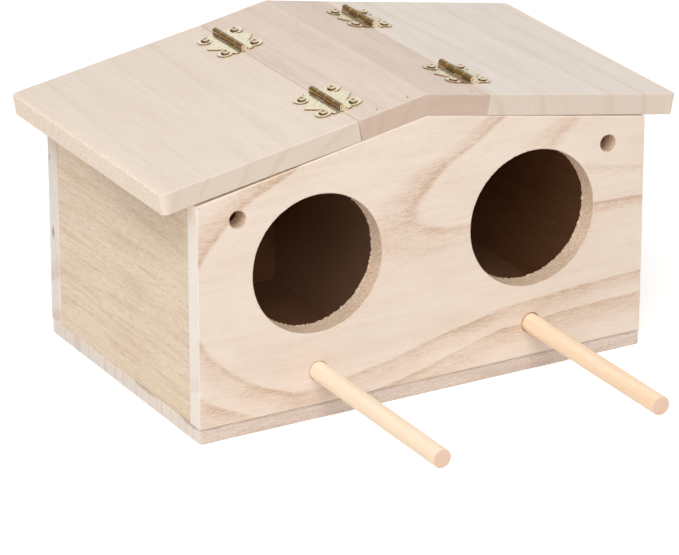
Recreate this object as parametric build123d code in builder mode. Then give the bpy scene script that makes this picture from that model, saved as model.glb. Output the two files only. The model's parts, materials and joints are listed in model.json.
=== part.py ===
from build123d import *
import math
import os

# Bird breeding box: two nesting chambers side by side under a low gabled roof.
# X runs along the front from left to right, Y from the front to the back, Z up.
# The origin is the centre of the underside of the base board.
# All lengths are in millimetres, and angles are in degrees.

# Box
box_width = 260.0
box_depth = 167.0
base_thickness = 7.8
panel_thickness = 10.6
divider_thickness = 4.0
eave_wall_height = 127.0
side_panel_recess = 0.6
board_arris = 0.6

# Roof
roof_slope = 10.3
roof_thickness = 11.3
eave_overhang = 20.0
roof_front_setback = 0.5
roof_back_overhang = 0.9
left_ridge_board_width = 39.6
right_ridge_board_width = 37.8
seam_gap = 0.4
lid_corner_radius = 3.4
left_lid_lift = 0.8
right_lid_lift = 0.3
lid_seat_gap = 0.1

# Front panel's holes
entry_hole_radius = 36.75
entry_hole_place_share = 0.482
entry_hole_height_share = 0.58
hanging_hole_radius = 4.5
hanging_hole_end_inset = 22.4
hanging_hole_top_inset = 14.8

# Perches
perch_radius = 5.0
perch_reach = 121.5
perch_fit = 0.05
perch_height_share = 0.139
perch_end_chamfer = 0.5

# Butterfly hinges
left_hinge_front_inset = 31.5
left_hinge_back_inset = 33.0
right_hinge_front_inset = 33.6
right_hinge_back_inset = 34.5
hinge_axis_height = 2.0
leaf_thickness = 0.8
knuckle_radius = 1.75
knuckle_count = 4
barrel_length = 32.0
knuckle_gap = 0.25
knuckle_clearance = 0.35
pin_radius = 0.8
pin_fit = 0.04
pin_end_proud = 0.3
leaf_reach = 13.5
tab_shoulder_reach = 9.6
tab_half_width = 4.5
curl_angle = 25.0
lobe_radius = 4.4
lobe_inset = 0.6
leaf_screw_reach = 8.7

# Screws of the hinges
screw_radius = 1.1
screw_fit = 0.1
screw_head_radius = 2.25
screw_head_height = 1.3
screw_head_rim = 0.45
screw_tip_length = 2.2
screw_tip_cover = 2.0
recess_width = 0.5
recess_length = 2.4
recess_depth = 0.6

# Nails
nail_radius = 0.45
nail_head_radius = 0.65
nail_head_thickness = 0.5
nail_fit = 0.05
nail_bite = 14.0
left_ridge_nail_shares = (0.22, 0.67)
right_ridge_nail_shares = (0.775,)
base_nail_long_shares = (-0.84, -0.28, 0.28, 0.84)
base_nail_short_shares = (-0.5, 0.5)

# One length by which cuts run past the wood
overrun = 5.0

# Worked out from the sizes above
slope = math.radians(roof_slope)
half_width = box_width / 2
half_depth = box_depth / 2
ridge_height = eave_wall_height + half_width * math.tan(slope)
ridge_top_height = ridge_height + roof_thickness / math.cos(slope)
roof_run = half_width / math.cos(slope) + eave_overhang
roof_depth = box_depth - roof_front_setback + roof_back_overhang
roof_middle_y = (roof_front_setback + roof_back_overhang) / 2
inner_half_depth = half_depth - panel_thickness
wall_line_y = half_depth - panel_thickness / 2
wall_line_x = half_width - panel_thickness / 2
knuckle_pitch = barrel_length / knuckle_count
leaf_screw_spacing = barrel_length - 2 * lobe_inset - 2 * lobe_radius
screw_length = leaf_thickness + roof_thickness - screw_tip_cover
ridge_nail_length = roof_thickness + nail_bite
base_nail_length = base_thickness + nail_bite

SIDES = {"left": -1, "right": 1}
RIDGE_BOARD_WIDTHS = {"left": left_ridge_board_width, "right": right_ridge_board_width}
RIDGE_NAIL_SHARES = {"left": left_ridge_nail_shares, "right": right_ridge_nail_shares}
LID_LIFTS = {"left": left_lid_lift, "right": right_lid_lift}
PLACES = {"front": -1, "back": 1}
HINGE_INSETS = {
    "left": {"front": left_hinge_front_inset, "back": left_hinge_back_inset},
    "right": {"front": right_hinge_front_inset, "back": right_hinge_back_inset},
}


def roof_line(x):
    """Height of the roof's underside above the base's underside, at a distance x from the middle."""
    return ridge_height - abs(x) * math.tan(slope)


def wall_share_height(x, share):
    """Height of a share of the front wall, which reaches from the base board to the roof line at x."""
    return base_thickness + share * (roof_line(x) - base_thickness)


entry_x = entry_hole_place_share * half_width
entry_z = wall_share_height(entry_x, entry_hole_height_share)
perch_z = wall_share_height(entry_x, perch_height_share)
hanging_x = half_width - hanging_hole_end_inset
hanging_z = roof_line(hanging_x) - hanging_hole_top_inset


# Places on the roof. Each side has a frame on its hinge axis: across points down the slope,
# up is square to the roof's top surface, and along is the box's own Y.

def roof_directions(side, lift):
    """The across and up directions of one side of the roof, raised about the hinge axis by lift."""
    turn = math.radians(roof_slope - lift)
    across = Vector(SIDES[side] * math.cos(turn), 0, -math.sin(turn))
    up = Vector(SIDES[side] * math.sin(turn), 0, math.cos(turn))
    return across, up


def hinge_axis_point(side, y):
    """The point of a side's hinge axis at the depth y."""
    across, up = roof_directions(side, 0)
    ridge_point = Vector(0, y, ridge_top_height)
    return ridge_point + across * RIDGE_BOARD_WIDTHS[side] + up * hinge_axis_height


def roof_point(side, across_by, y, up_by, lift=0):
    """A point across_by from the hinge axis and up_by from the roof's top surface."""
    across, up = roof_directions(side, lift)
    return hinge_axis_point(side, y) + across * across_by + up * (up_by - hinge_axis_height)


def section_plane(side, across_by, y, up_by, lift=0):
    """An upright plane across the roof, with its x down the slope and its y square to the roof."""
    across, up = roof_directions(side, lift)
    return Plane(origin=roof_point(side, across_by, y, up_by, lift), x_dir=across, z_dir=across.cross(up))


def surface_plane(side, across_by, y, up_by, lift=0):
    """A plane that lies with the roof's top surface, with its x down the slope."""
    across, up = roof_directions(side, lift)
    return Plane(origin=roof_point(side, across_by, y, up_by, lift), x_dir=across, z_dir=up)


def save(piece, name):
    """Labels a finished piece and writes it to its own file."""
    piece.part.label = name
    export_step(piece.part, f"parts/{name}.step")


# Nails and screws

def disc(plane, radius):
    """A round face on a plane, about its origin."""
    with BuildSketch(plane) as round_face:
        Circle(radius)
    return round_face.sketch


def nail_hole(plane, length):
    """Cuts the hole of one nail, whose head lies flush with the plane."""
    extrude(disc(plane, nail_radius + nail_fit), amount=-length - nail_fit, mode=Mode.SUBTRACT)
    extrude(disc(plane, nail_head_radius + nail_fit), amount=-nail_head_thickness, mode=Mode.SUBTRACT)


def add_nail(plane, length):
    """Adds one nail, with its head flush with the plane."""
    extrude(disc(plane, nail_head_radius), amount=-nail_head_thickness)
    extrude(disc(plane, nail_radius), amount=-length)


def ridge_nail_planes(side):
    """The planes of the nails that hold a ridge board to the front panel and the back panel."""
    width = RIDGE_BOARD_WIDTHS[side]
    planes = []
    for y in (-wall_line_y, wall_line_y):
        for share in RIDGE_NAIL_SHARES[side]:
            planes.append(surface_plane(side, share * width - width, y, 0))
    return planes


def base_nail_planes():
    """The planes of the nails that come up through the base board into the four walls."""
    planes = []
    for y in (-wall_line_y, wall_line_y):
        for share in base_nail_long_shares:
            planes.append(Plane(origin=(share * half_width, y, 0), x_dir=(1, 0, 0), z_dir=(0, 0, -1)))
    for x in (-wall_line_x, wall_line_x):
        for share in base_nail_short_shares:
            planes.append(Plane(origin=(x, share * half_depth, 0), x_dir=(1, 0, 0), z_dir=(0, 0, -1)))
    return planes


def hinge_middle(side, place):
    """The depth of a hinge's middle, from its inset from the roof's front or back edge."""
    return roof_middle_y + PLACES[place] * (roof_depth / 2 - HINGE_INSETS[side][place])


def leaf_screw_places(side, place):
    """The depths of the two screws of a leaf, for the front hinge or the back hinge."""
    y = hinge_middle(side, place)
    return (y - leaf_screw_spacing / 2, y + leaf_screw_spacing / 2)


def pilot_holes(side, lid):
    """Cuts the pilot holes of one side's hinge screws, in the lid or in the ridge board."""
    lift = LID_LIFTS[side] if lid else 0
    across_by = leaf_screw_reach if lid else -leaf_screw_reach
    for place in PLACES:
        for y in leaf_screw_places(side, place):
            mouth = disc(surface_plane(side, across_by, y, overrun, lift), screw_radius + screw_fit)
            extrude(mouth, amount=leaf_thickness - screw_length - overrun, mode=Mode.SUBTRACT)


# Boards of the box

def make_base_board():
    """The plate under all four walls, with its lower corners eased."""
    with BuildPart() as base_board:
        with BuildSketch():
            Rectangle(box_width, box_depth)
        extrude(amount=base_thickness)
        fillet(base_board.faces().sort_by(Axis.Z)[0].edges(), board_arris)
        for plane in base_nail_planes():
            nail_hole(plane, base_nail_length)
    return base_board


def gable_corners():
    """The corners of the front panel and the back panel, from the base board to the roof."""
    return (
        (-half_width, base_thickness),
        (half_width, base_thickness),
        (half_width, eave_wall_height),
        (0, ridge_height),
        (-half_width, eave_wall_height),
    )


def wall_nail_holes():
    """Cuts the nails' holes where they run up from the base board or down from the ridge boards."""
    for plane in base_nail_planes():
        nail_hole(plane, base_nail_length)
    for side in SIDES:
        for plane in ridge_nail_planes(side):
            nail_hole(plane, ridge_nail_length)


def make_front_panel():
    """The gabled front with its entry holes, perch holes and hanging holes."""
    with BuildPart() as front_panel:
        with BuildSketch(Plane.XZ.offset(half_depth)):
            Polygon(*gable_corners(), align=None)
            with Locations((-entry_x, entry_z), (entry_x, entry_z)):
                Circle(entry_hole_radius, mode=Mode.SUBTRACT)
            with Locations((-entry_x, perch_z), (entry_x, perch_z)):
                Circle(perch_radius + perch_fit, mode=Mode.SUBTRACT)
            with Locations((-hanging_x, hanging_z), (hanging_x, hanging_z)):
                Circle(hanging_hole_radius, mode=Mode.SUBTRACT)
        extrude(amount=-panel_thickness)
        fillet(front_panel.edges().filter_by(Axis.Z).group_by(Axis.Y)[0], board_arris)
        wall_nail_holes()
    return front_panel


def make_back_panel():
    """The gabled back, a plain board of the front's outline."""
    with BuildPart() as back_panel:
        with BuildSketch(Plane.XZ.offset(-half_depth)):
            Polygon(*gable_corners(), align=None)
        extrude(amount=panel_thickness)
        fillet(back_panel.edges().filter_by(Axis.Z).group_by(Axis.Y)[-1], board_arris)
        wall_nail_holes()
    return back_panel


def make_side_panel(side):
    """An end wall between the front and the back, with its top cut to the lid that rests on it."""
    lift = LID_LIFTS[side]
    outer_x = SIDES[side] * (half_width - side_panel_recess)
    inner_x = SIDES[side] * (half_width - panel_thickness)
    across, up = roof_directions(side, lift)
    seat = roof_point(side, 0, 0, -roof_thickness - lid_seat_gap, lift)

    def top_height(x):
        return seat.Z + (x - seat.X) * across.Z / across.X

    with BuildPart() as side_panel:
        with BuildSketch(Plane.XZ):
            with BuildLine():
                Polyline(
                    (inner_x, base_thickness),
                    (outer_x, base_thickness),
                    (outer_x, top_height(outer_x)),
                    (inner_x, top_height(inner_x)),
                    close=True,
                )
            make_face()
        extrude(amount=inner_half_depth, both=True)
        for plane in base_nail_planes():
            nail_hole(plane, base_nail_length)
    return side_panel


def make_divider_panel():
    """The thin wall that parts the two chambers, up to the ridge."""
    half_thickness = divider_thickness / 2
    with BuildPart() as divider_panel:
        with BuildSketch(Plane.XZ):
            with BuildLine():
                Polyline(
                    (-half_thickness, base_thickness),
                    (half_thickness, base_thickness),
                    (half_thickness, roof_line(half_thickness)),
                    (0, ridge_height),
                    (-half_thickness, roof_line(half_thickness)),
                    close=True,
                )
            make_face()
        extrude(amount=inner_half_depth, both=True)
    return divider_panel


def make_perch(side):
    """A round dowel glued into the front panel, flush with its inner face."""
    with BuildPart() as perch:
        with BuildSketch(Plane.XZ.offset(inner_half_depth)):
            with Locations((SIDES[side] * entry_x, perch_z)):
                Circle(perch_radius)
        extrude(amount=panel_thickness + perch_reach)
        chamfer(perch.edges().sort_by(Axis.Y)[0], perch_end_chamfer)
    return perch


# Boards of the roof

def make_ridge_board(side):
    """A fixed roof board, mitred upright at the ridge and cut square to the slope at the lid."""
    width = RIDGE_BOARD_WIDTHS[side]
    mitre = roof_thickness * math.tan(slope)
    with BuildPart() as ridge_board:
        with BuildSketch(section_plane(side, 0, roof_middle_y, 0)):
            with BuildLine():
                Polyline(
                    (-width, 0),
                    (-seam_gap / 2, 0),
                    (-seam_gap / 2, -roof_thickness),
                    (mitre - width, -roof_thickness),
                    close=True,
                )
            make_face()
        extrude(amount=roof_depth / 2, both=True)
        pilot_holes(side, False)
        for plane in ridge_nail_planes(side):
            nail_hole(plane, ridge_nail_length)
    return ridge_board


def make_lid(side):
    """A hinged roof board that reaches past its side panel, with rounded corners at the eave."""
    lift = LID_LIFTS[side]
    length = roof_run - RIDGE_BOARD_WIDTHS[side]
    across, up = roof_directions(side, lift)
    with BuildPart() as lid:
        with BuildSketch(section_plane(side, 0, roof_middle_y, 0, lift)):
            with BuildLine():
                Polyline(
                    (seam_gap / 2, 0),
                    (length, 0),
                    (length, -roof_thickness),
                    (seam_gap / 2, -roof_thickness),
                    close=True,
                )
            make_face()
        extrude(amount=roof_depth / 2, both=True)
        slope_axis = Axis(origin=roof_point(side, 0, 0, 0, lift), direction=across)
        thickness_axis = Axis(origin=roof_point(side, 0, 0, 0, lift), direction=up)
        eave_edges = lid.edges().filter_by(thickness_axis).group_by(slope_axis)[-1]
        fillet(eave_edges, lid_corner_radius)
        rim_edges = lid.faces().filter_by(thickness_axis).edges().filter_by(
            lambda edge: edge.center().sub(roof_point(side, 0, 0, 0, lift)).dot(across) > seam_gap
        )
        fillet(rim_edges, board_arris)
        pilot_holes(side, True)
    return lid


# Butterfly hinges. The knuckles are numbered from the front: the leaf on its hinge's right has
# the even ones and the leaf on its left the odd ones.

def own_knuckles(side, lid):
    """The numbers of the knuckles that belong to the leaf on the lid or on the ridge board."""
    leaf_on_right = (side == "right") == lid
    first = 0 if leaf_on_right else 1
    return range(first, knuckle_count, 2)


def knuckle_middle(side, place, number):
    """The depth of a knuckle's middle."""
    return hinge_middle(side, place) + number * knuckle_pitch - (barrel_length - knuckle_pitch) / 2


def make_leaf(side, place, lid):
    """A leaf: a butterfly-wing plate with two round lobes and a pointed tab, curled into knuckles."""
    lift = LID_LIFTS[side] if lid else 0
    way = 1 if lid else -1
    middle = hinge_middle(side, place)
    clear = knuckle_radius + knuckle_clearance
    strip_reach = (clear + leaf_screw_reach) / 2
    half_strip = barrel_length / 2 - knuckle_gap
    lobe_offset = leaf_screw_spacing / 2
    curl = math.radians(curl_angle)
    curl_reach = clear + leaf_thickness
    curl_low = -hinge_axis_height
    curl_top = leaf_thickness - hinge_axis_height
    with BuildPart() as leaf:
        with BuildSketch(surface_plane(side, 0, middle, 0, lift)):
            with Locations((way * (clear + strip_reach) / 2, 0)):
                Rectangle(strip_reach - clear, 2 * half_strip)
            with Locations((way * leaf_screw_reach, -lobe_offset), (way * leaf_screw_reach, lobe_offset)):
                Circle(lobe_radius)
            with BuildLine():
                Polyline(
                    (way * clear, -lobe_offset),
                    (way * tab_shoulder_reach, -tab_half_width),
                    (way * leaf_reach, 0),
                    (way * tab_shoulder_reach, tab_half_width),
                    (way * clear, lobe_offset),
                    close=True,
                )
            make_face()
        extrude(amount=leaf_thickness)
        for number in own_knuckles(side, lid):
            y = knuckle_middle(side, place, number)
            with BuildSketch(section_plane(side, 0, y, hinge_axis_height, lift)):
                Circle(knuckle_radius)
                with BuildLine():
                    Polyline(
                        (way * seam_gap, curl_low),
                        (way * curl_reach, curl_low),
                        (way * curl_reach, curl_top),
                        (way * clear, curl_top),
                        (way * knuckle_radius * math.cos(curl), -knuckle_radius * math.sin(curl)),
                        (way * seam_gap, curl_top),
                        close=True,
                    )
                make_face()
            extrude(amount=(knuckle_pitch - knuckle_gap) / 2, both=True)
        with BuildSketch(section_plane(side, 0, middle, hinge_axis_height, lift)):
            Circle(pin_radius + pin_fit)
        extrude(amount=barrel_length, both=True, mode=Mode.SUBTRACT)
        for y in leaf_screw_places(side, place):
            with BuildSketch(surface_plane(side, way * leaf_screw_reach, y, 0, lift)):
                Circle(screw_radius + screw_fit)
            extrude(amount=leaf_thickness, mode=Mode.SUBTRACT)
    return leaf


def make_pin(side, place):
    """The hinge pin, which stands a little out of both ends of the barrel."""
    with BuildPart() as pin:
        with BuildSketch(section_plane(side, 0, hinge_middle(side, place), hinge_axis_height)):
            Circle(pin_radius)
        extrude(amount=barrel_length / 2 + pin_end_proud, both=True)
        fillet(pin.edges().filter_by(GeomType.CIRCLE), pin_end_proud)
    return pin


def make_leaf_screws(side, place, lid):
    """The two screws of a leaf, with cross recesses in their raised heads."""
    lift = LID_LIFTS[side] if lid else 0
    across_by = leaf_screw_reach if lid else -leaf_screw_reach
    _, up = roof_directions(side, lift)
    crown_rise = screw_head_height - screw_head_rim
    crown_radius = (screw_head_radius**2 + crown_rise**2) / (2 * crown_rise)
    crown_middle = screw_head_height - crown_radius + math.sqrt(crown_radius**2 - screw_head_radius**2 / 4)
    with BuildPart() as screws:
        for y in leaf_screw_places(side, place):
            seat = roof_point(side, across_by, y, leaf_thickness, lift)
            with BuildSketch(section_plane(side, across_by, y, leaf_thickness, lift)):
                with BuildLine():
                    Polyline(
                        (0, screw_head_height),
                        (0, -screw_length),
                        (screw_radius, screw_tip_length - screw_length),
                        (screw_radius, 0),
                        (screw_head_radius, 0),
                        (screw_head_radius, screw_head_rim),
                    )
                    ThreePointArc(
                        (screw_head_radius, screw_head_rim),
                        (screw_head_radius / 2, crown_middle),
                        (0, screw_head_height),
                    )
                make_face()
            revolve(axis=Axis(origin=seat, direction=up))
            with BuildSketch(surface_plane(side, across_by, y, leaf_thickness + screw_head_height, lift)):
                Rectangle(recess_length, recess_width)
                Rectangle(recess_width, recess_length)
            extrude(amount=-recess_depth, mode=Mode.SUBTRACT)
    return screws


def make_ridge_board_nails(side):
    """The nails that hold a ridge board."""
    with BuildPart() as nails:
        for plane in ridge_nail_planes(side):
            add_nail(plane, ridge_nail_length)
    return nails


def make_base_nails():
    """The nails that hold the base board to the walls."""
    with BuildPart() as nails:
        for plane in base_nail_planes():
            add_nail(plane, base_nail_length)
    return nails


def main():
    """Makes every piece and writes it to the parts folder."""
    os.makedirs("parts", exist_ok=True)
    save(make_base_board(), "base_board")
    save(make_front_panel(), "front_panel")
    save(make_back_panel(), "back_panel")
    save(make_divider_panel(), "divider_panel")
    save(make_base_nails(), "base_nails")
    for side in SIDES:
        save(make_side_panel(side), f"{side}_side_panel")
        save(make_perch(side), f"{side}_perch")
        save(make_ridge_board(side), f"{side}_ridge_board")
        save(make_ridge_board_nails(side), f"{side}_ridge_board_nails")
        save(make_lid(side), f"{side}_lid")
        for place in PLACES:
            hinge = f"{side}_{place}_hinge"
            save(make_leaf(side, place, False), f"{hinge}_fixed_leaf")
            save(make_leaf(side, place, True), f"{hinge}_lid_leaf")
            save(make_pin(side, place), f"{hinge}_pin")
            save(make_leaf_screws(side, place, False), f"{hinge}_fixed_screws")
            save(make_leaf_screws(side, place, True), f"{hinge}_lid_screws")


main()
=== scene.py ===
import json
import math
from collections import namedtuple
from functools import partialmethod

import bmesh
import bpy
import numpy as np
from bpy.props import FloatProperty, FloatVectorProperty, PointerProperty
from mathutils import Matrix, Vector


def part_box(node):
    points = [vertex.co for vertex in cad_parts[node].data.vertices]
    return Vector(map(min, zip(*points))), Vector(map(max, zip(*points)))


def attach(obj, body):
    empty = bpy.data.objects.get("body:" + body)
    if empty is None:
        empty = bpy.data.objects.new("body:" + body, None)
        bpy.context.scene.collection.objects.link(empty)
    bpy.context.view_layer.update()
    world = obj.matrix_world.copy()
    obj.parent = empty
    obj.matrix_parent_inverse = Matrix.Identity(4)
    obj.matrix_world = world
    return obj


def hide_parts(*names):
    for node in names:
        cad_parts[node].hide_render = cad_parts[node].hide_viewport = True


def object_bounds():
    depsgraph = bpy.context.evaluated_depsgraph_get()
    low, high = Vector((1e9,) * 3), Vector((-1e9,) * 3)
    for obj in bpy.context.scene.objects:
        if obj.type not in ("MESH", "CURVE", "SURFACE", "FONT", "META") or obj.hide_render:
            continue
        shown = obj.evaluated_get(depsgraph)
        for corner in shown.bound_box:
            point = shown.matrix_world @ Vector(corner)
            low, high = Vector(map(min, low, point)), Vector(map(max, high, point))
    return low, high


# A bird breeding box of pale wood: the finish of its boards, dowels and butterfly hinges, and the studio
# that it stands in. Lengths are metres and angles are radians. X runs along the front, Y from the front
# to the back and Z up, from the middle of the base board's underside.

bl_info = {
    "name": "Bird Breeding Box",
    "version": (1, 0, 0),
    "blender": (4, 5, 0),
    "location": "3D Viewport > Sidebar > Breeding Box",
    "description": "Finishes the boards, dowels and hinges of a wooden breeding box with a hinged roof",
    "category": "Add Mesh",
}

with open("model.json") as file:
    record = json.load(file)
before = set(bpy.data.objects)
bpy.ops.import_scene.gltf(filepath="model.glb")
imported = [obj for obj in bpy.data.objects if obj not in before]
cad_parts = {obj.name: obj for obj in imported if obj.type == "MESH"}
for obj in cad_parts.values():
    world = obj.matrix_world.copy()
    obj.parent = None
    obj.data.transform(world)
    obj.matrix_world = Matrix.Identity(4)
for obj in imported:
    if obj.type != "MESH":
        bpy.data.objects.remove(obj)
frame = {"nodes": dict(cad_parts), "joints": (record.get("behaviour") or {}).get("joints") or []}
CAD_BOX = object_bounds()
FRONT_LOW, FRONT_HIGH = (np.array(corner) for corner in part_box("front_panel"))
BACK_LOW = np.array(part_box("back_panel")[0])
BASE_LOW, BASE_HIGH = (np.array(corner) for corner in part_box("base_board"))
SIDES = {"left": -1, "right": 1}
PLACES = ("front", "back")
HINGE_AXES = {joint["child"].split("_")[0]: joint["pos_m"] for joint in frame["joints"]}
MM = 0.001

# Points nearer than this are joined
WELD = 2e-6
# Grid lines across a rounded arris and near a rounded corner, and the angles round a quarter circle
ARRIS_STEPS = 3
CORNER_STEPS = 7
QUARTER = np.linspace(0, math.pi / 2, ARRIS_STEPS + 1)
# Edges of the metal parts that turn by more than this are rounded
SHARP_ANGLE = math.radians(40)
# How far from an eave's edge the saw marks and the torn wood reach
SAWN_REACH = 2 * MM
TORN_REACH = 9 * MM
# Distances from the middle of the box between which the painted shade on the inner faces ends toward its
# sides
INSIDE_SHADE_END = (0.128, 0.129)
# Distances from a hinge's axis between which its barrel's duller finish and the barrel colour, a painted dark
# reflection, end
PAINTED_BARREL_END = (2.1 * MM, 2.5 * MM)
# Lengths of the fine and the coarse tears and of the loose fibres in bored walls, and of fine and coarse
# saw marks. The loose fibres narrow a hole by no more than their share of its radius.
FINE_TEAR, COARSE_TEAR, LOOSE_FIBRE = 1.1 * MM, 3 * MM, 1.3 * MM
FINE_SAWING, COARSE_SAWING = 1.8 * MM, 6 * MM
LOOSE_SHARE = 0.03
# Size of the specks in sanded and of those in torn wood, and the roughness of its fibres
SANDED_SPECK, TORN_SPECK = 0.7 * MM, 0.34 * MM
WOOD_ROUGHNESS = (0.62, 0.8)
# The dark colour of pores, stain patches, painted shade and specks, as a share of the growth rings' colour
DARKER = 0.6
# How strongly the effects that all boards share show, from 0 to 1
TONE, END_RINGS, END_SPECKS, TORN_PITS, TORN_SPECKS, EDGE_SPECKS = 0.14, 0.16, 0.18, 0.5, 0.6, 0.6
# Depth of the pores and fibres, and of the scratches in metal
FIBRE_DEPTH = 0.12 * MM
SCRATCH_DEPTH = 0.05 * MM
# Greatest distance between points along the front panel's outlines, and the gap round a tight perch
FRONT_SPACING = 0.8 * MM
PERCH_FIT = 0.05 * MM
# Directions of the grain, across the board and out of its face: front and back panel, divider and perches
FRONT_GRAIN = ((1, 0, 0), (0, 0, 1), (0, -1, 0))
LENGTHWISE_GRAIN = ((0, 1, 0), (0, 0, 1), (1, 0, 0))
# The place on the front panel that its growth rings are laid out from
FRONT_GRAIN_START = (0, FRONT_LOW[1], 0.08)
# The room's brightness eases from its front to its back and from its walls to its ceiling, and the white
# wall that metal mirrors ends at its top, its foot and its side: all as parts of a direction
ROOM_DEPTH, CEILING = (-0.6, 0.2), (0.5, 0.85)
WALL_TOP, WALL_FOOT, WALL_SIDE = (0.53, 0.58), (0.1, 0.16), (-0.1, 0.1)
# Each lamp's place and width
LAMPS = {"key": ((-1.3, -1.75, 2.4), 2.8), "fill": ((1.9, -1.0, 2.5), 2.2)}
# The floor's half width, and the camera's sensor (in millimetres) and clipping distances
FLOOR_REACH = 6.0
SENSOR_WIDTH = 36.0
CLIP_RANGE = (0.05, 30.0)


def middle_and_halves(name):
    """The middle of a CAD node's box, and half its sizes."""
    low, high = (np.array(corner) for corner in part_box(name))
    return (low + high) / 2, (high - low) / 2


# Sizes, colours and lights that a user may change

def length(name, description, millimetres):
    """A length property, whose default is given in millimetres."""
    return FloatProperty(name=name, description=description, default=millimetres * MM, min=0, unit="LENGTH",
                         precision=5)


def angle(name, description, degrees):
    """An angle property, whose default is given in degrees."""
    return FloatProperty(name=name, description=description, default=math.radians(degrees), unit="ROTATION")


def share(name, description, value):
    """A share from 0 to 1."""
    return FloatProperty(name=name, description=description, default=value, min=0, max=1, subtype="FACTOR")


def colour(name, description, red, green, blue):
    """A colour property, whose default is given as display values from 0 to 255."""
    display = np.array([red, green, blue]) / 255
    linear = np.where(display > 0.04045, ((display + 0.055) / 1.055) ** 2.4, display / 12.92)
    return FloatVectorProperty(name=name, description=description, default=tuple(linear), min=0, max=1,
                               size=3, subtype="COLOR")


class BoxSizes(bpy.types.PropertyGroup):
    """Sizes of the boards and dowels that the frame's boxes don't give."""

    arris: length("Arris", "Rounding of the boards' long edges", 0.6)
    slope: angle("Roof slope", "Slope of each side of the roof", 10.3)
    left_lift: angle("Left lid lift", "How far the left lid stands open at rest", 0.8)
    right_lift: angle("Right lid lift", "How far the right lid stands open at rest", 0.3)
    axis_height: length("Hinge axis height", "Height of the hinge axis over the roof's top", 2.0)
    roof_thickness: length("Roof thickness", "Thickness of the roof's boards", 11.3)
    seam: length("Seam", "Gap between a ridge board and its lid", 0.12)
    sanding: length("Sanding", "How far the ridge boards are sanded down round their nail heads", 0.05)
    eave_corner: length("Eave corner", "Rounding of a lid's outer corners", 3.4)
    entry_radius: length("Entry hole radius", "Radius of the birds' entry holes", 36.75)
    entry_x: length("Entry hole place", "Distance of the entry holes from the middle", 62.66)
    entry_z: length("Entry hole height", "Height of the entry holes' middles", 84.034)
    hanging_radius: length("Hanging hole radius", "Radius of the small upper holes", 4.5)
    hanging_x: length("Hanging hole place", "Distance of the small holes from the middle", 107.6)
    hanging_z: length("Hanging hole height", "Height of the small holes' middles", 116.271)
    perch_z: length("Perch height", "Height of the perches' middles", 26.069)
    perch_gap: length("Perch gap", "Gap round the right perch in its hole", 0.3)
    tear: length("Torn grain", "Depth of the torn grain in the bored walls", 0.5)
    fuzz: length("Fuzz", "Loose fibres that narrow the bored holes toward their back", 0.9)
    base_corner: length("Base corner", "Rounding of the base board's corners", 2.2)
    saw_mark: length("Saw marks", "Depth of the saw marks on the eaves' edges", 0.16)


class WoodLooks(bpy.types.PropertyGroup):
    """Colours of the wood, board by board."""

    front: colour("Front", "Sanded face of the front and back panels", 241, 225, 210)
    front_streak: colour("Front streak", "Growth rings of the front and back panels", 211, 175, 145)
    front_end: colour("Front end", "Sawn ends of the front panel", 243, 233, 222)
    back_end: colour("Back end", "Sawn ends of the back panel", 234, 227, 218)
    # Painted light and shade in the bored holes: the pale bore colour lights the end-grain walls at the
    # holes' sides, and the darker one below paints shade on the walls at their tops and bottoms, along the
    # grain
    bore: colour("Bored wood", "Torn end grain in the bored holes", 250, 222, 194)
    bore_shade: colour("Bored wood below", "Bored walls that run along the grain", 214, 189, 163)
    bore_pit: colour("Pits in bored wood", "Dark pits of the torn end grain", 192, 154, 126)
    torn: colour("Torn eave", "Torn wood along the eaves' edges", 248, 231, 213)
    torn_pit: colour("Pits in torn eaves", "Darker fibres between the pale ones", 220, 190, 164)
    side: colour("Side", "Face of the side panels", 240, 223, 200)
    side_streak: colour("Side streak", "Growth rings of the side panels", 196, 162, 130)
    # The lids are different boards, and the right lid's cooler, paler colour is also painted light, for the
    # cooler light on that side of the roof
    left_lid: colour("Left lid", "Face of the left lid", 230, 216, 203)
    right_lid: colour("Right lid", "Face of the right lid", 234, 224, 214)
    lid_streak: colour("Lid streak", "Growth rings of the lids", 208, 186, 166)
    lid_end: colour("Lid end", "End grain of the lids", 223, 206, 190)
    ridge: colour("Ridge board", "Face of the ridge boards", 226, 210, 197)
    ridge_streak: colour("Ridge streak", "Growth rings of the ridge boards", 196, 168, 148)
    ridge_end: colour("Ridge end", "End grain of the ridge boards", 209, 185, 167)
    base: colour("Base", "Front edge of the base board", 234, 218, 206)
    base_streak: colour("Base streak", "Growth rings of the base board", 196, 170, 152)
    base_end: colour("Base end", "Ends of the base board", 233, 222, 211)
    # The inner colour is painted shade: it darkens the inner faces, the divider and the floor inside the box
    inner: colour("Inner faces", "Unsanded wood inside the box", 196, 158, 126)
    pale_dowel: colour("Pale dowel", "The left perch", 251, 232, 209)
    warm_dowel: colour("Warm dowel", "The right perch", 253, 229, 202)
    dowel_streak: colour("Dowel streak", "Grain lines of the perches", 240, 200, 156)
    dowel_end: colour("Dowel end", "Sawn ends of the perches", 240, 205, 184)
    # The worn edge colour is partly real wear and partly painted highlight, on the rounded edges, the holes'
    # rims and pale specks in torn wood
    edge: colour("Worn edge", "Rounded edges, where the fibres stand up pale", 250, 240, 228)


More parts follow.
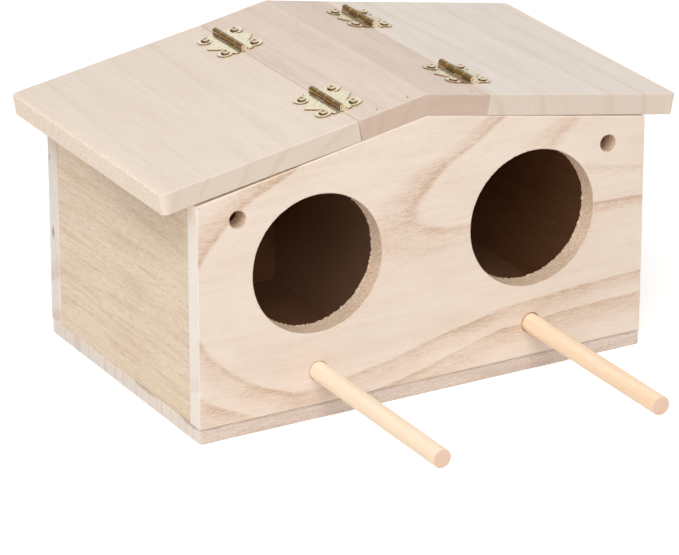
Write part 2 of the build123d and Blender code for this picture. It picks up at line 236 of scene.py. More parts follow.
class MetalLooks(bpy.types.PropertyGroup):
    """Finish of the hinges, screws and nails."""

    leaf: colour("Leaf", "Bright plated brass of the hinge leaves", 236, 226, 198)
    leaf_stain: colour("Leaf stain", "Tarnish in the hinge leaves", 204, 192, 150)
    # Painted shade: the leaves' sides get this darker colour, for dark outlines round the leaves
    leaf_side: colour("Leaf sides", "Cut sides of the hinge leaves", 178, 152, 110)
    screw_side: colour("Screw sides", "Shaded sides of the screw heads", 92, 68, 38)
    # The barrel colour is a painted dark reflection on the hinge barrels
    barrel: colour("Barrel", "Duller brass of the hinge barrels", 136, 110, 70)
    cap: colour("Barrel ends", "Bright ends of the hinge barrels", 246, 230, 196)
    screw: colour("Screw", "Brass of the screws", 250, 232, 204)
    screw_stain: colour("Screw stain", "Tarnish of the screws", 226, 190, 152)
    nail: colour("Nail", "Rusty steel of the nail heads", 150, 116, 100)
    putty: colour("Putty", "Filler over the nail heads at the back", 226, 210, 197)
    gloss: share("Roughness", "Roughness of the plated metal", 0.1)
    screw_gloss: share("Screw roughness", "Roughness of the screw heads", 0.3)


class StudioLooks(bpy.types.PropertyGroup):
    """The floor, the lights and the camera."""

    floor: colour("Floor", "Floor and backdrop", 246, 246, 246)
    floor_glow: share("Floor glow", "White that the floor adds for the camera and in reflections", 0.3)
    sky: FloatProperty(name="Sky", description="Strength of the light from all round", default=0.69, min=0)
    front_shade: share("Front shade", "How much darker the room is in front of the box", 0.88)
    zenith: share("Zenith", "How bright the room's ceiling is beside its walls", 0.55)
    mirrored: colour("Mirrored room", "What metal shows above, below and beside the white wall", 146, 124, 92)
    key: FloatProperty(name="Key light", description="Power of the light over the left front", default=90,
                       unit="POWER")
    fill: FloatProperty(name="Fill light", description="Power of the light over the right front", default=15,
                        unit="POWER")
    lens: FloatProperty(name="Lens", description="Focal length of the camera", default=229.65,
                        unit="CAMERA")
    eye: FloatVectorProperty(name="Camera place", description="Where the camera stands", size=3,
                             default=(-1.035112, -1.821908, 0.895628), subtype="TRANSLATION")
    yaw: angle("Camera yaw", "How far the camera turns to the left of the box's depth", -29.529)
    pitch: angle("Camera pitch", "How far the camera tips down", -22.351)
    roll: angle("Camera roll", "How far the camera leans", -0.056)


# Surfaces worked out as grids

def grid_quads(rows, columns, closed=False):
    """Corner numbers of the quads between the points of a grid, whose last column may join the first."""
    index = np.arange(rows * columns).reshape(rows, columns)
    if closed:
        index = np.concatenate([index, index[:, :1]], axis=1)
    corners = (index[:-1, :-1], index[:-1, 1:], index[1:, 1:], index[1:, :-1])
    return np.stack(corners, axis=-1).reshape(-1, 4)


Patch = namedtuple("Patch", "points closed edge bore", defaults=(False, 0.0, 0.0))


def make_piece(name, patches, body, material, node):
    """Builds one piece from its patches, and seats it in place of its CAD node.

    A patch is a grid of points, whether its rows close, how far each point lies in a rounded edge and
    how far in a bored wall, both from 0 to 1 and kept as attributes for the material.
    """
    points = np.concatenate([patch.points.reshape(-1, 3) for patch in patches])
    quads = []
    first = 0
    for patch in patches:
        rows, columns = patch.points.shape[:2]
        quads.append(grid_quads(rows, columns, patch.closed) + first)
        first += rows * columns
    mesh = bpy.data.meshes.new(name)
    mesh.from_pydata(points.tolist(), [], np.concatenate(quads).tolist())
    for mark in ("edge", "bore"):
        values = [np.broadcast_to(getattr(patch, mark), patch.points.shape[:2]).ravel() for patch in patches]
        mesh.attributes.new(mark, "FLOAT", "POINT").data.foreach_set("value", np.concatenate(values))
    shell = bmesh.new()
    shell.from_mesh(mesh)
    bmesh.ops.remove_doubles(shell, verts=shell.verts, dist=WELD)
    bmesh.ops.recalc_face_normals(shell, faces=shell.faces)
    shell.to_mesh(mesh)
    shell.free()
    mesh.polygons.foreach_set("use_smooth", [True] * len(mesh.polygons))
    mesh.materials.append(material)
    piece = bpy.data.objects.new(name, mesh)
    bpy.context.scene.collection.objects.link(piece)
    piece.modifiers.new("Even shading", "WEIGHTED_NORMAL").weight = 100
    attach(piece, body)
    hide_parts(node)


def ripple(points, wavelength, seed, layers=6):
    """A smooth uneven value near -1 to 1 at each point: the mean of sine waves that run in seeded
    directions, each with its own length near the one given and its own start, times two."""
    draw = np.random.default_rng(seed)
    total = np.zeros(points.shape[:-1])
    for _ in range(layers):
        direction = draw.normal(size=3)
        direction *= 2 * math.pi / (wavelength * draw.uniform(0.6, 1.6) * np.linalg.norm(direction))
        total += np.sin(points @ direction + draw.uniform(0, 2 * math.pi))
    return 2 * total / layers


def slab_lines(half, arris, spacing, corner=0.0):
    """Grid lines across one side of a block, from -half to half: lines at equal angles in both arrises,
    at half - arris + arris tan(angle), at most one spacing apart between them, and closer in the corners."""
    core = half - arris
    lines = np.linspace(-core, core, 2 * max(1, math.ceil(core / spacing)) + 1)
    near_corner = np.linspace(core - corner, core, CORNER_STEPS)[:-1] if corner else np.empty(0)
    lines = np.unique(np.concatenate([lines, near_corner, -near_corner]))
    rise = arris * np.tan(np.linspace(0, math.pi / 4, ARRIS_STEPS + 1)[1:])
    return np.concatenate([-core - rise[::-1], lines, core + rise])


def eased_slab(halves, arris, spacings, corner=0.0):
    """The six faces of a block about its middle, with rounded arrises and closer lines in the corners.

    Each face is a grid on the plain block. A point q of it is clamped to the core block, which is
    smaller by the arris all round, and pushed out from that nearest point c again by the arris:
    p = c + arris (q - c) / |q - c|.
    """
    halves = np.asarray(halves, dtype=float)
    faces = []
    for out in range(3):
        one, two = [axis for axis in range(3) if axis != out]
        u, v = np.meshgrid(
            slab_lines(halves[one], arris, spacings[one], corner),
            slab_lines(halves[two], arris, spacings[two], corner),
            indexing="ij",
        )
        for side in (-1, 1):
            q = np.empty(u.shape + (3,))
            q[..., out], q[..., one], q[..., two] = side * halves[out], u, v
            c = np.clip(q, arris - halves, halves - arris)
            away = q - c
            reach = np.linalg.norm(away, axis=-1, keepdims=True)
            edge = np.clip((reach[..., 0] / arris - 1) / (math.sqrt(2) - 1), 0, 1)
            faces.append(Patch(c + arris * away / reach, edge=edge))
    return faces


def reshaped(faces, change):
    """The same faces with their points changed by a function."""
    return [face._replace(points=change(face.points)) for face in faces]


def rounded_in_plan(points, halves, radius, both_ends=False):
    """Rounds a block's corners in plan, on its +X side or on both.

    Inside the corner square of the radius's side, a point (s, t) from the square's inner corner moves
    to (s, t) max(s, t) / |(s, t)|, which turns the square into a quarter of a disc.
    """
    end = np.sign(points[..., 0]) if both_ends else 1
    s = np.maximum(points[..., 0] * end - (halves[0] - radius), 0)
    t = np.maximum(np.abs(points[..., 1]) - (halves[1] - radius), 0)
    scale = np.maximum(s, t) / np.maximum(np.hypot(s, t), WELD)
    inside = (s > 0) & (t > 0)
    rounded = points.copy()
    rounded[..., 0] = np.where(inside, end * (halves[0] - radius + s * scale), points[..., 0])
    turned = np.sign(points[..., 1]) * (halves[1] - radius + t * scale)
    rounded[..., 1] = np.where(inside, turned, points[..., 1])
    return rounded


def placed(faces, origin, axes=np.eye(3)):
    """Carries faces from a piece's own directions to the box's: origin + x axis0 + y axis1 + z axis2."""
    return reshaped(faces, lambda points: np.asarray(origin) + points @ np.asarray(axes))


def roof_line(x, sizes):
    """Height of the roof's underside over a place x: the ridge's height less |x| tan(slope)."""
    return FRONT_HIGH[2] - np.abs(x) * math.tan(sizes.slope)


def under_roof(faces, sizes):
    """Stretches faces upwards from the base board so that their top edge follows the roof line.

    The faces' top stands at the ridge's height h over the base board b, and a point's height z over b
    is multiplied by (roof line(x) - b) / (h - b).
    """
    low = FRONT_LOW[2]

    def stretch(points):
        scale = (roof_line(points[..., 0], sizes) - low) / (FRONT_HIGH[2] - low)
        return np.dstack([points[..., :2], low + (points[..., 2] - low) * scale])

    return reshaped(faces, stretch)


# The bored front panel. Its face is split into cells with one hole each, and each cell is a grid that
# runs from the cell's outline to the hole's rim, through the bored wall and out again on the back.

def divide(start, end):
    """Points from start up to but not including end, at most one spacing apart."""
    start, end = np.asarray(start, dtype=float), np.asarray(end, dtype=float)
    count = max(1, math.ceil(np.linalg.norm(end - start) / FRONT_SPACING))
    return start + (end - start) * np.arange(count)[:, None] / count


def runs_of(corners):
    """The straight runs of a closed outline, each as its two ends."""
    return list(zip(corners, corners[1:] + corners[:1]))


def bored_cell(corners, centre, radius, rows, sizes, seed, rough):
    """One cell of the front panel, from its outline in to its hole and out again on the back.

    Columns follow the cell's outline, and each aims at the hole's middle. Rows go along the front face
    to the rim, round the rim's arris by a quarter circle, through the wall and back out. The wall's
    radius is the hole's plus a tear that is deepest in the two quarters where the cutter ran against
    the grain, as minus the sine of twice the angle round the hole. Toward the back, where the cutter
    comes out, uneven fuzz narrows the hole, by the fifth power of the way through.
    """
    outline = np.concatenate([divide(start, end) for start, end in runs_of(corners)])
    away = outline - np.asarray(centre)
    turn = np.arctan2(away[:, 1], away[:, 0])
    front, back = FRONT_LOW[1], FRONT_HIGH[1]
    arris = sizes.arris * 0.5
    reach = np.linalg.norm(away, axis=-1)
    rim = radius + arris
    steps = np.linspace(0, 1, rows[0])[:, None] ** 1.5
    quarter = QUARTER[:, None]
    wall = np.linspace(front + arris, back - arris, rows[1])[1:-1, None]
    face_radii = reach + (rim + arris - reach) * steps
    flat = np.ones_like(reach)
    curve_radii, curve_depths = rim - arris * np.sin(quarter), arris * (1 - np.cos(quarter))
    radii = np.concatenate([face_radii, curve_radii * flat, (radius + 0 * wall) * flat,
                            curve_radii[::-1] * flat, face_radii[::-1]])
    depths = np.concatenate([front + 0 * steps, front + curve_depths, wall,
                             back - curve_depths[::-1], back + 0 * steps])
    bore = np.clip(1 - (radii - radius) / (2 * arris), 0, 1)
    grid = np.empty(radii.shape + (3,))
    grid[..., 0] = centre[0] + radii * np.cos(turn)
    grid[..., 1] = depths
    grid[..., 2] = centre[1] + radii * np.sin(turn)
    end_on = rough + (1 - rough) * np.clip(-np.sin(2 * turn), 0, 1)
    torn = 0.7 * np.abs(ripple(grid, FINE_TEAR, seed)) + 0.5 * np.abs(ripple(grid, COARSE_TEAR, seed + 1))
    loose = 0.3 + 0.8 * np.abs(ripple(grid, LOOSE_FIBRE, seed + 2))
    share = np.clip((depths - front) / (back - front), 0, 1) ** 5
    push = bore * (sizes.tear * torn * end_on - min(sizes.fuzz, LOOSE_SHARE * radius) * loose * share)
    grid[..., 0] += push * np.cos(turn)
    grid[..., 2] += push * np.sin(turn)
    edge = bore * (1 - np.clip((radius + arris * 0.3 - radii) / (arris * 0.3), 0, 1))
    return Patch(grid, True, edge, bore)


def rim_strip(corners, arris):
    """The front panel's outer edge: an arris, the edge and an arris, carried round the inset outline.

    At a run's point p the surface is p + r sin(t) n, where n points out of the run, and at a corner n
    turns from one run's to the next while p stays.
    """
    starts, outs, normals = [], [], []
    for start, end in runs_of(corners):
        along = np.subtract(end, start) / np.linalg.norm(np.subtract(end, start))
        normals.append(np.array([along[1], -along[0]]))
    for number, (start, end) in enumerate(runs_of(corners)):
        points = divide(start, end)
        here, before = normals[number], normals[number - 1]
        turn = np.linspace(0, 1, ARRIS_STEPS + 1)[:-1, None]
        fan = before + (here - before) * turn
        starts.append(np.repeat(points[:1], len(fan), axis=0))
        outs.append(fan / np.linalg.norm(fan, axis=-1, keepdims=True))
        starts.append(points)
        outs.append(np.repeat(here[None], len(points), axis=0))
    starts, outs = np.concatenate(starts), np.concatenate(outs)
    inset = arris * (1 - np.cos(QUARTER))
    depth = np.concatenate([FRONT_LOW[1] + inset, FRONT_HIGH[1] - inset[::-1]])
    there_and_back = np.concatenate([QUARTER, QUARTER[::-1]])
    reach = arris * np.sin(there_and_back)
    grid = np.empty((len(reach), len(starts), 3))
    grid[..., 0] = starts[:, 0] + reach[:, None] * outs[:, 0]
    grid[..., 2] = starts[:, 1] + reach[:, None] * outs[:, 1]
    grid[..., 1] = depth[:, None]
    return Patch(grid, True, np.sin(2 * there_and_back)[:, None])


def front_patches(sizes):
    """All patches of the front panel: three bored cells on each half and the outer edge."""
    r = sizes.arris
    half, low = FRONT_HIGH[0] - r, FRONT_LOW[2] + r
    lower = r / math.cos(sizes.slope)

    def top(x):
        return float(roof_line(x, sizes)) - lower

    column = (sizes.hanging_x - sizes.hanging_radius + sizes.entry_x + sizes.entry_radius) / 2
    shelf = (sizes.perch_z + sizes.entry_z - sizes.entry_radius) / 2
    perch_radius = middle_and_halves("left_perch")[1][0] + PERCH_FIT
    patches = []
    for side in SIDES.values():
        around_perch = perch_radius + max(side, 0) * sizes.perch_gap
        # Each cell's outline, its hole's middle and radius, the rows of points on the face and through the
        # wall, and how deep the wall is torn where the cutter ran with the grain
        cells = (
            ([(0, low), (column, low), (half, low), (half, shelf), (column, shelf), (0, shelf)],
             (sizes.entry_x, sizes.perch_z), around_perch, (5, 4), 0.2),
            ([(0, shelf), (column, shelf), (column, top(column)), (0, top(0))],
             (sizes.entry_x, sizes.entry_z), sizes.entry_radius, (9, 20), 0.22),
            ([(column, shelf), (half, shelf), (half, top(half)), (column, top(column))],
             (sizes.hanging_x, sizes.hanging_z), sizes.hanging_radius, (5, 8), 0.2),
        )
        for number, (corners, centre, radius, rows, rough) in enumerate(cells):
            corners = [(side * x, z) for x, z in corners]
            centre = (side * centre[0], centre[1])
            patches.append(bored_cell(corners, centre, radius, rows, sizes, 10 * number + side + 1, rough))
    corners = [(0, low), (column, low), (half, low), (half, shelf), (half, top(half)), (column, top(column)),
               (0, top(0)), (-column, top(column)), (-half, top(half)), (-half, shelf), (-half, low),
               (-column, low)]
    patches.append(rim_strip(corners, r))
    return patches


# Shader nodes

class Wire:
    """An output of a shader node. Sums of wires and numbers add Math nodes."""

    def __init__(self, socket):
        self.socket, self.tree = socket, socket.id_data

    def value(self, operation, *others):
        """The value of a Math node on this wire and others."""
        return maths(self.tree, operation, self, *others)

    def vector(self, operation, *others):
        """The outputs of a Vector Math node on this wire and others."""
        inputs = dict(enumerate((self, *others)))
        return add_node(self.tree, "ShaderNodeVectorMath", inputs, operation=operation)

    __add__ = partialmethod(value, "ADD")
    __sub__ = partialmethod(value, "SUBTRACT")
    __mul__ = partialmethod(value, "MULTIPLY")
    __truediv__ = partialmethod(value, "DIVIDE")
    __abs__ = partialmethod(value, "ABSOLUTE")
    at_least = partialmethod(value, "MAXIMUM")
    at_most = partialmethod(value, "MINIMUM")

    def __rsub__(self, number):
        return maths(self.tree, "SUBTRACT", number, self)

    def __rtruediv__(self, number):
        return maths(self.tree, "DIVIDE", number, self)

    def scaled(self, factors):
        """This vector multiplied by factors, axis by axis."""
        return self.vector("MULTIPLY", factors)[0]

    def parts(self):
        """The X, Y and Z of this vector."""
        return add_node(self.tree, "ShaderNodeSeparateXYZ", {0: self})

    def eased(self, low, high, start=0.0, end=1.0):
        """This value eased from start to end while it goes from low to high."""
        ranged = {"Value": self, "From Min": low, "From Max": high, "To Min": start, "To Max": end}
        return add_node(self.tree, "ShaderNodeMapRange", ranged, interpolation_type="SMOOTHSTEP")[0]

    def noise(self, scale=1.0, detail=2.0, roughness=0.5, output=0):
        """A three-dimensional noise at this place, as a value or as a colour."""
        inputs = {"Vector": self, "Scale": scale, "Detail": detail, "Roughness": roughness}
        return add_node(self.tree, "ShaderNodeTexNoise", inputs)[output]

    def mix(self, one, two, blend="MIX"):
        """Two colours mixed by this factor."""
        one, two = (colour if isinstance(colour, Wire) else (*colour, 1) for colour in (one, two))
        inputs = {0: self, 6: one, 7: two}
        return add_node(self.tree, "ShaderNodeMix", inputs, data_type="RGBA", blend_type=blend)[2]


def wires(node):
    """A node's outputs, by number and by name."""
    return {key: Wire(socket) for number, socket in enumerate(node.outputs) for key in (number, socket.name)}


def feed(node, inputs):
    """Sets a node's inputs to numbers or links them to wires."""
    for key, value in inputs.items():
        if isinstance(value, Wire):
            value.tree.links.new(value.socket, node.inputs[key])
        else:
            node.inputs[key].default_value = value


def add_node(tree, kind, inputs=None, **settings):
    """Adds a node with its settings and inputs, and gives its outputs."""
    node = tree.nodes.new(kind)
    for key, value in settings.items():
        setattr(node, key, value)
    feed(node, inputs or {})
    return wires(node)


def maths(tree, operation, *values):
    """The value of a Math node."""
    return add_node(tree, "ShaderNodeMath", dict(enumerate(values)), operation=operation)[0]


def growth_rings(given):
    """Growth rings of a board cut from a log, on the board's own directions: X along the grain, Y across
    the face and Z out of it. The distance from the pith is the square root of across squared, plus depth
    squared, plus the taper times the way left to where the log's cone would end, plus the flare times the
    square of the way past where the log flares. The pith runs askew by the grain slope between two places
    along the board, level before them and by the end slope after. Rings of uneven width and strength are
    that distance counted in ring widths."""
    place = given["Vector"].parts()
    drift = given["Vector"].scaled((9, 26, 26)).noise(detail=3, output=1).parts()
    along = place[0].at_least(given["Slope Start"]).at_most(given["Slope End"])
    beyond = (place[0] - given["Slope End"]).at_least(0.0)
    across = place[1] - given["Pith Across"] - along * given["Grain Slope"] - beyond * given["End Slope"]
    across = across + (drift[0] - 0.5) * given["Waviness"]
    depth = place[2] + given["Pith Depth"] + (drift[1] - 0.5) * given["Waviness"]
    left = (given["Taper End"] - place[0]).at_least(0.0)
    past = (given["Flare Start"] - place[0]).at_least(0.0)
    square = across * across + depth * depth + left * given["Taper"] + past * past * given["Flare"]
    distance = square.value("SQRT")
    count = distance / given["Ring Width"]
    uneven = add_node(count.tree, "ShaderNodeTexNoise", {"W": count, "Scale": 0.45, "Detail": 1.0},
                      noise_dimensions="1D")[0]
    count = count + uneven * 1.6 + given["Start"]
    strength = add_node(count.tree, "ShaderNodeTexWhiteNoise", {"W": count.value("FLOOR")},
                        noise_dimensions="1D")[0] * 0.65 + 0.35
    phase = count.value("FRACT")
    ring = phase.eased(1.0 - given["Late Wood"], 0.9) * phase.eased(0.9, 1.0, 1.0, 0.0) * strength
    tone = given["Vector"].scaled((14, 45, 45)).noise(detail=4, roughness=0.6)
    return {"Distance": distance, "Ring": ring, "Tone": tone}


def wood_fibres(given):
    """Fibres, broad streaks and short open pores, all drawn out along the grain. Each is a noise on
    the board's directions, where the length along the grain is many fibre widths. Porous wood, from 0 to
    1, lowers the value at which the pores' noise opens."""
    def drawn_out(width, stretch, detail=3):
        """A noise of so many fibre widths, whose fibres are so many times as long."""
        wide = 1.0 / (given["Fibre Width"] * width)
        factors = {0: wide / (given["Length"] * stretch), 1: wide, 2: wide}
        factors = add_node(wide.tree, "ShaderNodeCombineXYZ", factors)[0]
        return given["Vector"].scaled(factors).noise(detail=detail, roughness=0.6)

    opening = given["Porous"] * -0.17 + 0.62
    pores = drawn_out(0.8, 0.4, 1).eased(opening, opening + 0.1)
    return {"Fibre": drawn_out(1.0, 1.0), "Streak": drawn_out(7.0, 1.0), "Pores": pores}


def facing(given):
    """How far a surface faces one direction. Along is the size of the normal's part in that direction,
    eased, as where a board's end cuts its grain across. Toward counts one side only, and rises from its
    low to its high value."""
    part = given["Normal"].vector("DOT_PRODUCT", given["Direction"])["Value"]
    return {"Along": abs(part).eased(0.55, 0.9), "Toward": part.eased(given["Low"], given["High"])}


def rough_cut(given):
    """Torn and fuzzy wood: a fine value of pale specks and a coarser one of pits."""
    size = 1.0 / given["Grain Size"]
    specks = given["Vector"].noise(size, 3, 0.7).eased(0.5, 0.7)
    return {"Specks": specks, "Pits": given["Vector"].noise(size * 0.4).eased(0.35, 0.65)}


def plating(given):
    """Tarnish and fine scratches of plated metal, in metres."""
    stain = given["Vector"].noise(1.0 / given["Stain Size"], 4, 0.65).eased(0.42, 0.68)
    return {"Stain": stain, "Scratches": given["Vector"].scaled((9000, 900, 900)).noise(detail=1)}


# The shared groups: the function that works out each one's outputs, and its inputs' defaults
ANYWHERE = (0, 0, 0)
GROUPS = {
    "growth_rings": (growth_rings, {
        "Vector": ANYWHERE, "Ring Width": 0.01, "Start": 0.0, "Pith Across": 0.0, "Pith Depth": 0.1,
        "Taper": 0.0, "Taper End": 0.0, "Flare": 0.0, "Flare Start": 0.0, "Grain Slope": 0.0,
        "Slope Start": -10.0, "Slope End": 10.0, "End Slope": 0.0, "Waviness": 0.002, "Late Wood": 0.4,
    }),
    "wood_fibres": (wood_fibres, {"Vector": ANYWHERE, "Fibre Width": 0.0005, "Length": 30.0, "Porous": 0.0}),
    "facing": (facing, {"Normal": ANYWHERE, "Direction": (1, 0, 0), "Low": 0.8, "High": 0.95}),
    "rough_cut": (rough_cut, {"Vector": ANYWHERE, "Grain Size": 0.0008}),
    "plating": (plating, {"Vector": ANYWHERE, "Stain Size": 0.002}),
}


def new_group(name):
    """Builds a shared node group. An input whose default is one number is a value, and any other a vector."""
    work_out, defaults = GROUPS[name]
    tree = bpy.data.node_groups.new(name, "ShaderNodeTree")
    for title, default in defaults.items():
        kind = "NodeSocketFloat" if isinstance(default, float) else "NodeSocketVector"
        tree.interface.new_socket(name=title, in_out="INPUT", socket_type=kind).default_value = default
    found = work_out(wires(tree.nodes.new("NodeGroupInput")))
    for title in found:
        tree.interface.new_socket(name=title, in_out="OUTPUT", socket_type="NodeSocketFloat")
    feed(tree.nodes.new("NodeGroupOutput"), found)


def use_group(tree, name, **inputs):
    """Places a shared group in a material. Its inputs' names are given in small letters."""
    if name not in bpy.data.node_groups:
        new_group(name)
    titled = {key.replace("_", " ").title(): value for key, value in inputs.items()}
    return add_node(tree, "ShaderNodeGroup", titled, node_tree=bpy.data.node_groups[name])


def new_material(name):
    """A new material, its tree, its Principled BSDF and the outputs of its texture coordinates."""
    material = bpy.data.materials.new(name)
    material.use_nodes = True
    tree = material.node_tree
    return material, tree, tree.nodes["Principled BSDF"], add_node(tree, "ShaderNodeTexCoord")


def bumps(height, strength, distance):
    """The normal of a surface with small bumps."""
    inputs = {"Height": height, "Strength": strength, "Distance": distance}
    return add_node(height.tree, "ShaderNodeBump", inputs)[0]


def rings(width, across, depth, slope=0.0, start=0.0, waviness=0.006, late=0.5, **more):
    """The growth_rings group's inputs for one board."""
    return {"ring_width": width, "pith_across": across, "pith_depth": depth, "grain_slope": slope,
            "start": start, "waviness": waviness, "late_wood": late, **more}


# How a board's grain shows: its rings, its fibres' width and length in widths, how strongly its rings,
# fibres, broad streaks and pores stain it, single rings by radius, inner side, outer side and strength, and
# stain patches and painted shade by the middle, the reaches and the strength of each, in the box's own
# directions.
Grain = namedtuple("Grain", "rings fibre_width fibre_length ring fibre streak pores marks stains",
                   defaults=((), ()))

GRAINS = {
    "front_panel": Grain(
        rings(0.0155, 0.0204, 0.02, 0.33, waviness=0.009, slope_start=-0.077, slope_end=0.045, end_slope=0.13,
              taper=0.013, taper_end=0.1385, flare=0.27, flare_start=-0.02),
        0.0006, 14, 0.05, 0.14, 0.12, 0.16,
        ((0.0352, 0.0018, 0.0044, 0.5), (0.0486, 0.0012, 0.0056, 0.85), (0.0876, 0.0014, 0.0086, 0.85),
         (0.0985, 0.0012, 0.016, 0.7)),
        # Painted shadow line along the front panel's foot, where it meets the base board
        (((0, FRONT_LOW[1], BASE_HIGH[2]), (1, 0.002, 0.0008), 0.35),),
    ),
    "back_panel": Grain(
        rings(0.012, -0.02, 0.02, -0.1, waviness=0.012, taper=0.03, taper_end=0.2),
        0.0006, 14, 0.4, 0.12, 0.15, 0.15,
        (), (((BACK_LOW[0], 0.079, 0.058), (0.002, 0.0022, 0.0048), 1.0),
             ((BACK_LOW[0], 0.081, 0.099), (0.002, 0.0016, 0.0025), 0.6)),
    ),
    "base_board": Grain(
        rings(0.008, 0.3, 0.0, waviness=0.004, late=0.35), 0.0006, 14, 0.3, 0.3, 0.3, 0.4,
        # Painted shadow line along the base board's top front edge, where the front panel stands on it
        (), (((0, BASE_LOW[1], BASE_HIGH[2]), (1, 0.002, 0.0012), 0.5),
             ((BASE_LOW[0], -0.024, BASE_HIGH[2]), (0.002, 0.018, 0.0016), 0.7),
             ((BASE_LOW[0], -0.072, BASE_HIGH[2]), (0.002, 0.014, 0.0018), 0.8)),
    ),
    "left_side_panel": Grain(
        rings(0.0036, -0.25, 0.12, 0.06, waviness=0.012), 0.0005, 12, 0.18, 0.45, 0.3, 0.3,
        # Painted shade, with grain lines, at the top of the left side panel under the eave
        (), (((-0.13, -0.03, 0.108), (0.01, 0.08, 0.02), 0.25),),
    ),
    "right_side_panel": Grain(
        rings(0.0036, 0.3, 0.1, -0.04, 0.5, waviness=0.012), 0.0005, 12, 0.18, 0.45, 0.3, 0.3,
    ),
    "divider_panel": Grain(rings(0.005, 0.1, 0.05, 0.03), 0.0006, 12, 0.3, 0.2, 0.3, 0.3),
    "left_lid": Grain(rings(0.0155, -0.074, 0.07, -0.05, 0.2, late=0.3), 0.0006, 14, 0.2, 0.14, 0.16, 0.12),
    "right_lid": Grain(rings(0.02, -0.076, 0.015, 0.04, 0.6, late=0.3), 0.0006, 14, 0.24, 0.14, 0.2, 0.12),
    "left_ridge_board": Grain(
        rings(0.01, -0.05, 0.05, 0.04, 0.3, waviness=0.008), 0.0006, 14, 0.2, 0.16, 0.2, 0.15,
    ),
    "right_ridge_board": Grain(
        rings(0.004, 0.01, 0.12, 0.03, waviness=0.008), 0.0006, 14, 0.2, 0.16, 0.2, 0.15,
    ),
    "left_perch": Grain(rings(0.003, 0.02, 0.01, 0.01, waviness=0.002), 0.0004, 30, 0.1, 0.12, 0.25, 0.06),
    "right_perch": Grain(rings(0.0025, 0.012, 0.02, 0.02, waviness=0.002), 0.0004, 30, 0.35, 0.3, 0.4, 0.12),
}


def single_rings(distance, marks):
    """A dark band at each marked radius: it rises over its inner side to a line, falls to half of that
    beyond it, and fades out over its outer side, as the pores of early wood do."""
    low = min(radius - inner for radius, inner, _, _ in marks)
    high = max(radius + outer for radius, _, outer, _ in marks)
    ranged = {"Value": distance, "From Min": low, "From Max": high}
    factor = add_node(distance.tree, "ShaderNodeMapRange", ranged)[0]
    band = add_node(distance.tree, "ShaderNodeValToRGB", {0: factor})[0]
    ramp = band.socket.node.color_ramp
    ramp.interpolation = "EASE"
    stops = [stop for radius, inner, outer, strength in marks
             for stop in ((radius - inner, 0.0), (radius, strength), (radius + 0.25 * outer, 0.55 * strength),
                          (radius + outer, 0.0))]
    for place, strength in stops[1:-1]:
        ramp.elements.new((place - low) / (high - low)).color = (strength, strength, strength, 1)
    for end in (ramp.elements[0], ramp.elements[-1]):
        end.color = (0, 0, 0, 1)
    return band


def stained_and_shaded(where, stains, patchy):
    """How dark the marked stain patches and painted shade are at a place: each fades out from its middle
    over its reaches, and the fibres break it up."""
    total = 0.0
    for middle, reaches, strength in stains:
        offset = where.vector("SUBTRACT", middle)[0].scaled([1 / reach for reach in reaches])
        stain = offset.vector("LENGTH")["Value"].eased(0.3, 1.0, strength, 0.0)
        total = maths(where.tree, "MAXIMUM", total, stain)
    return total * patchy


